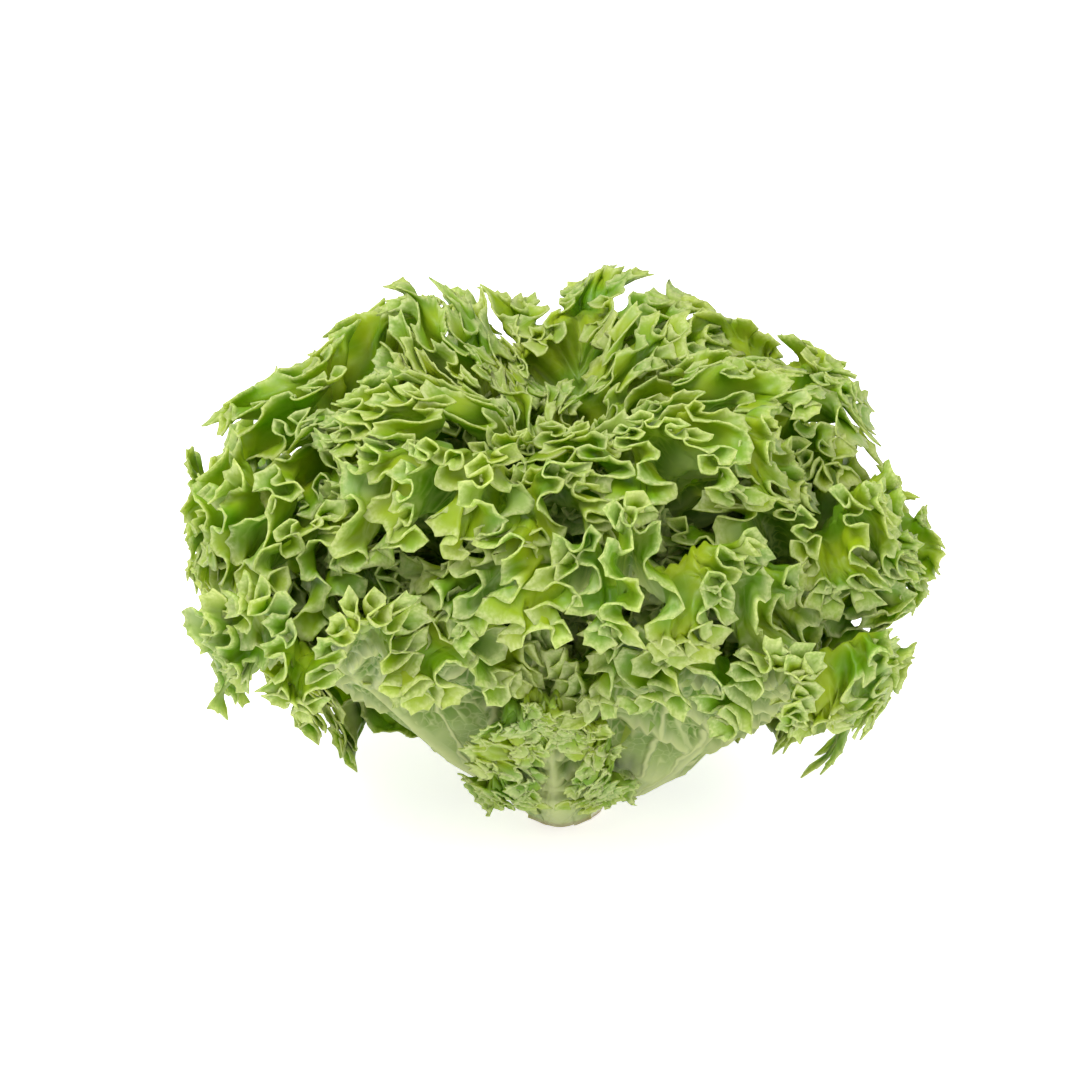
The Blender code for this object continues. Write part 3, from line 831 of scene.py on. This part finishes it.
# %% Group: the fine net of veins and the fan of ribs
net, net_in, net_out = group_of("fine_vein_net", "Place", ("Cells", "Line"), ("Vein", "Rib", "Height"))
warp = node(net, "ShaderNodeTexNoise", {"Vector": net_in["Place"], "Scale": 14, "Detail": 1})
shift = {0: warp.outputs["Color"], 1: (0.05, 0.05, 0), 2: net_in["Place"]}
bent = node(net, "ShaderNodeVectorMath", shift, operation="MULTIPLY_ADD").outputs[0]
pattern = {"Vector": bent, "Scale": net_in["Cells"]}
edges = node(net, "ShaderNodeTexVoronoi", pattern, feature="DISTANCE_TO_EDGE").outputs["Distance"]
thin = maths(net, "DIVIDE", edges, net_in["Line"], clamp=True)
feed(net_out["Vein"], maths(net, "SUBTRACT", 1.0, thin, clamp=True))
across, up, _ = node(net, "ShaderNodeSeparateXYZ", {0: bent}).outputs
fan = maths(net, "ARCTAN2", across, maths(net, "SUBTRACT", up, 0.06))
stripe = maths(net, "ABSOLUTE", maths(net, "SINE", times(net, fan, 11.0)))
rib = times(net, rest(net, between(net, stripe, 0.05, 0.42)), rest(net, between(net, up, 0.9, 1.6)))
feed(net_out["Rib"], rib)
feed(net_out["Height"], times(net, rib, -2.6))

# %% Group: soft blotches, for every finish
blotch, blotch_in, blotch_out = group_of("soft_blotches", "Place", ("Size",), ("Amount", "Fine"))
for title, factor in (("Amount", 1.0), ("Fine", 14.0)):
    scale = times(blotch, blotch_in["Size"], factor)
    noise = node(blotch, "ShaderNodeTexNoise", {"Vector": blotch_in["Place"], "Scale": scale, "Detail": 1})
    feed(blotch_out[title], between(blotch, noise.outputs[0], 0.3, 0.7))


# %% The leaf finish
YOUNG_AND_PAINTED_LIGHT, BROWNED, GLOW = (0.33, 0.44, 0.085), (0.33, 0.22, 0.09), (1.20, 1.25, 0.15)
LIGHT_THROUGH = 0.52


def leaf_finish(name, deep, bright, back, pale, lip):
    material, tree, surface = new_material(name, 0.36)
    place = node(tree, "ShaderNodeTexCoord").outputs
    margin, vein, cell, height, under = (
        node(tree, "ShaderNodeAttribute", attribute_name=title).outputs["Fac"]
        for title in ("margin", "vein", "cell", "height", "underside")
    )
    amount, fine = add_group(tree, blotch, place["Object"], 55)
    net_vein, net_rib, net_height = add_group(tree, net, place["UV"], 26, 0.16)

    # the two sides of the blade, and a lighter yellow green low down, partly the colour of younger tissue and
    # partly painted light that lifts the shade under the head
    inner = between(tree, margin, 0.40, 0.85)
    blade = mixed(tree, amount, deep, bright)
    # the outside: partly its own duller green, partly painted shade that darkens it for the hollows between the
    # veins
    blade = mixed(tree, times(tree, under, blended(tree, inner, 0.95, 0.30)), blade, back)
    young_and_painted_light = rest(tree, between(tree, height, 0.25, 0.60))
    blade = mixed(tree, times(tree, young_and_painted_light, blended(tree, under, 0.64, 0.20)), blade, YOUNG_AND_PAINTED_LIGHT)

    # pale veins and stalk, light lips that are partly the margin's own pale colour and partly a painted
    # highlight, and the browned cut
    borders = times(tree, rest(tree, between(tree, cell, 0.02, 0.26)), 0.8)
    line = maths(tree, "MAXIMUM", times(tree, net_vein, 0.55), borders)
    line = maths(tree, "MAXIMUM", maths(tree, "MAXIMUM", vein, net_rib), line)
    line = times(tree, line, blended(tree, under, 0.22, 1.0))
    blade = mixed(tree, times(tree, line, blended(tree, inner, 1.0, 0.50)), blade, pale)
    blade = mixed(tree, rest(tree, between(tree, height, 0.03, 0.16)), blade, pale)
    # the light lip: partly the margin's own pale colour and partly a painted highlight
    rim = times(tree, between(tree, margin, 0.93, 1.0), blended(tree, fine, 0.35, 0.85))
    blade = mixed(tree, rim, blade, lip)
    level = node(tree, "ShaderNodeSeparateXYZ", {0: place["Object"]}).outputs[2]
    cut = rest(tree, between(tree, level, 0.0080, 0.0135))
    blade = mixed(tree, times(tree, cut, blended(tree, fine, 0.35, 0.90)), blade, BROWNED)

    feed(surface["Base Color"], blade)
    feed(surface["Roughness"], blended(tree, fine, 0.30, 0.46))
    relief = times(tree, net_height, maths(tree, "SUBTRACT", 0.5, under))
    feed(surface["Normal"], bump(tree, relief, 0.55, 0.0010))
    glow = mixed(tree, 1.0, blade, GLOW, "MULTIPLY")
    through = node(tree, "ShaderNodeBsdfTranslucent", {"Color": glow}).outputs[0]
    shine = tree.nodes["Principled BSDF"].outputs[0]
    mix = node(tree, "ShaderNodeMixShader", {0: LIGHT_THROUGH, 1: shine, 2: through}).outputs[0]
    feed(tree.nodes["Material Output"].inputs["Surface"], mix)
    return material


# For each ring: the deep and the bright green inside, the outside, which is partly painted shade, the pale
# stalk and veins, and the lips, which are partly a painted highlight.
COLOURS = {
    "outer_leaf": ((0.165, 0.34, 0.002), (0.36, 0.46, 0.010), (0.135, 0.265, 0.014),
                   (0.60, 0.64, 0.30), (0.63, 0.66, 0.33)),
    "middle_leaf": ((0.170, 0.35, 0.002), (0.37, 0.47, 0.011), (0.165, 0.30, 0.016),
                    (0.56, 0.64, 0.24), (0.64, 0.67, 0.33)),
    "heart_leaf": ((0.185, 0.35, 0.003), (0.39, 0.49, 0.013), (0.23, 0.36, 0.026),
                   (0.56, 0.64, 0.24), (0.65, 0.68, 0.34)),
}
FINISHES = {ring: leaf_finish(ring + "_green", *colours) for ring, colours in COLOURS.items()}


# %% Make every leaf
def ring_of(number):
    """The plain name of the ring that a leaf stands in, and its number there."""
    for ring, first in (("heart_leaf", 21), ("middle_leaf", 9), ("outer_leaf", 0)):
        if number >= first:
            return ring, number - first + 1


total = 0
for leaf in leaves:
    ring, place = ring_of(leaf.number)
    piece = BLANKS[ring].copy()
    piece.data = BLANKS[ring].data.copy()
    piece.name = f"{ring}_{place:02d}_frilled"
    piece.data.name = piece.name
    scene.collection.objects.link(piece)
    bpy.ops.object.select_all(action="DESELECT")
    piece.select_set(True)
    bpy.context.view_layer.objects.active = piece
    columns, parts = CUTS[ring]
    shape_leaf(piece, leaf, LOOKS["front_leaf" if leaf.number == 0 else ring], columns * 2 ** (len(parts) - 1))
    thicken(piece)
    bpy.ops.object.shade_smooth()
    piece.data.materials.clear()
    piece.data.materials.append(FINISHES[ring])
    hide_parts(f"{ring}_{place:02d}")
    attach(piece, "root")
    total += sum(len(p.vertices) - 2 for p in piece.data.polygons)
print("triangles in all leaves:", total)
for blank in BLANKS.values():
    bpy.data.objects.remove(blank)

# %% [markdown]
# ## The cut stem
# Under the lowest leaves a knife left a stump no longer than a fingernail. It is white and a little lumpy where
# leaves were pulled off, and its cut has browned along the rim. A cylinder is drawn in at the top by extruding
# and scaling its upper face, and the cut face is inset ring by ring, for the vessels round the soft pith.

# %% The stump
CAP_STEPS, CAP_TURN = 6, math.pi / 14
CUT_RINGS = ((0.0012, 0), (0.0035, -0.0002), (0.0006, -0.0003), (0.0040, -0.0001), (0.0030, 0.0001))


def pick_faces(mesh, test):
    """Selects the faces whose middle and normal pass the test."""
    for thing in list(mesh.vertices) + list(mesh.edges) + list(mesh.polygons):
        thing.select = False
    for face in mesh.polygons:
        face.select = test(face.center, face.normal)


middle = (0, 0, STEM_SHOULDER / 2)
bpy.ops.mesh.primitive_cylinder_add(vertices=96, radius=STEM_RADIUS, depth=STEM_SHOULDER, location=middle)
stump = bpy.context.object
stump.name = "cut_stem_stump"
bpy.ops.object.transform_apply(location=True)
bpy.context.tool_settings.mesh_select_mode = (False, False, True)
pick_faces(stump.data, lambda middle, normal: normal.z > 0.9)
bpy.ops.object.mode_set(mode="EDIT")
for step in range(CAP_STEPS):
    low, high = step * CAP_TURN, (step + 1) * CAP_TURN
    lift = STEM_CAP * (math.sin(high) - math.sin(low))
    bpy.ops.mesh.extrude_region_move(TRANSFORM_OT_translate={"value": (0, 0, lift)})
    scale = math.cos(high) / math.cos(low)
    bpy.ops.transform.resize(value=(scale, scale, 1), center_override=(0, 0, 0))
bpy.ops.object.mode_set(mode="OBJECT")
pick_faces(stump.data, lambda middle, normal: normal.z < -0.9)
bpy.ops.object.mode_set(mode="EDIT")
for width, depth in CUT_RINGS:
    bpy.ops.mesh.inset(thickness=width, depth=depth)
bpy.ops.object.mode_set(mode="OBJECT")

# %% Round its edge and make it lumpy
round_edge = stump.modifiers.new("Worn edge", "BEVEL")
round_edge.width, round_edge.segments, round_edge.angle_limit = 0.0011, 3, math.radians(50)
bpy.ops.object.modifier_apply(modifier=round_edge.name)
finer = stump.modifiers.new("Finer", "SUBSURF")
finer.levels = finer.render_levels = 1
bpy.ops.object.modifier_apply(modifier=finer.name)
at = places_of(stump.data)
angle = np.arctan2(at[:, 1], at[:, 0])
lumps = 0.02 * np.sin(5 * angle + 1) + 0.012 * np.sin(13 * angle + 260 * at[:, 2]) + 0.010 * np.sin(29 * angle)
at[:, 2] = np.maximum(at[:, 2], 0)
rise = smooth(at[:, 2] / 0.002) * (1 - smooth((at[:, 2] - 0.006) / 0.01))
at[:, :2] *= (1 + lumps * (0.35 + rise))[:, None]
stump.data.vertices.foreach_set("co", at.ravel())
bpy.ops.object.shade_smooth()
print("stump faces:", len(stump.data.polygons))

# %% Its finish: white flesh, a browned rim and the ring of vessels
flesh, tree, surface = new_material("cut_stem_flesh", 0.35)
place = node(tree, "ShaderNodeTexCoord").outputs["Object"]
x, y, z = node(tree, "ShaderNodeSeparateXYZ", {0: place}).outputs
amount, fine = add_group(tree, blotch, place, 260)
middle = maths(tree, "SQRT", maths(tree, "ADD", *(maths(tree, "POWER", side, 2.0) for side in (x, y))))
skin = mixed(tree, fine, (0.56, 0.60, 0.34), (0.74, 0.76, 0.56))
vessels = times(tree, between(tree, middle, 0.0086, 0.0096), rest(tree, between(tree, middle, 0.0102, 0.0112)))
cut = mixed(tree, times(tree, vessels, 0.6), (0.66, 0.62, 0.42), (0.40, 0.30, 0.12))
cut = mixed(tree, times(tree, amount, 0.4), cut, (0.50, 0.36, 0.16))
rim = times(tree, rest(tree, between(tree, z, 0.0002, 0.0021)), between(tree, middle, 0.0118, 0.0134))
rim = times(tree, rim, blended(tree, amount, 0.45, 1.0))
body = mixed(tree, rest(tree, between(tree, z, 0.0002, 0.0006)), skin, cut)
feed(surface["Base Color"], mixed(tree, rim, body, (0.22, 0.12, 0.04)))
feed(surface["Roughness"], blended(tree, fine, 0.42, 0.62))
feed(surface["Normal"], bump(tree, fine, 0.5, 0.0004))
stump.data.materials.clear()
stump.data.materials.append(flesh)
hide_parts("cut_stem")
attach(stump, "root")

# %% [markdown]
# ## Camera, floor and light
# The camera stands a little above the table and looks down on the head. A large white floor and an even white
# sky give the photograph's bright ground, and a big soft lamp from above and a weak one from the front give the
# leaves their form. Light that has bounced more than a few times adds little, and is left out to save time.

# %% Camera
VIEW_ANGLE, LOOKING_DOWN, LOOKING_LEFT = 16.3, 24.26, 0.395
CAMERA_PLACE = (0, -1.178, 0.634)
camera = bpy.data.objects.new("camera", bpy.data.cameras.new("camera"))
camera.data.angle = math.radians(VIEW_ANGLE)
camera.location = CAMERA_PLACE
camera.rotation_euler = (math.radians(90 - LOOKING_DOWN), 0, math.radians(LOOKING_LEFT))
scene.collection.objects.link(camera)
scene.camera = camera

# %% Floor and sky
bpy.ops.mesh.primitive_plane_add(size=12, location=(0, 0, 0))
floor = bpy.context.object
floor.name = "floor"
white, _, surface = new_material("white_floor")
feed(surface["Base Color"], (0.93, 0.93, 0.93, 1))
feed(surface["Roughness"], 0.7)
feed(surface["Emission Color"], (1, 1, 1, 1))
feed(surface["Emission Strength"], 0.6)
floor.data.materials.append(white)
sky = bpy.data.worlds.new("sky")
scene.world = sky
sky.use_nodes = True
feed(sky.node_tree.nodes["Background"].inputs["Color"], (1, 1, 1, 1))
feed(sky.node_tree.nodes["Background"].inputs["Strength"], 1.0)
light = scene.cycles
light.max_bounces, light.transmission_bounces, light.diffuse_bounces, light.glossy_bounces = 5, 4, 3, 2
scene.view_settings.view_transform = "Standard"

# %% Lamps
LAMPS = (("key_lamp", (-0.5, -0.4, 1.5), 1.0, 30), ("fill_lamp", (0.9, -1.1, 0.7), 1.2, 8))
LIT_PLACE = Vector((0, 0, 0.09))
for name, place, size, power in LAMPS:
    lamp = bpy.data.lights.new(name, "AREA")
    lamp.size = size
    lamp.energy = power
    thing = bpy.data.objects.new(name, lamp)
    thing.location = place
    thing.rotation_euler = (LIT_PLACE - Vector(place)).to_track_quat("-Z", "Y").to_euler()
    scene.collection.objects.link(thing)
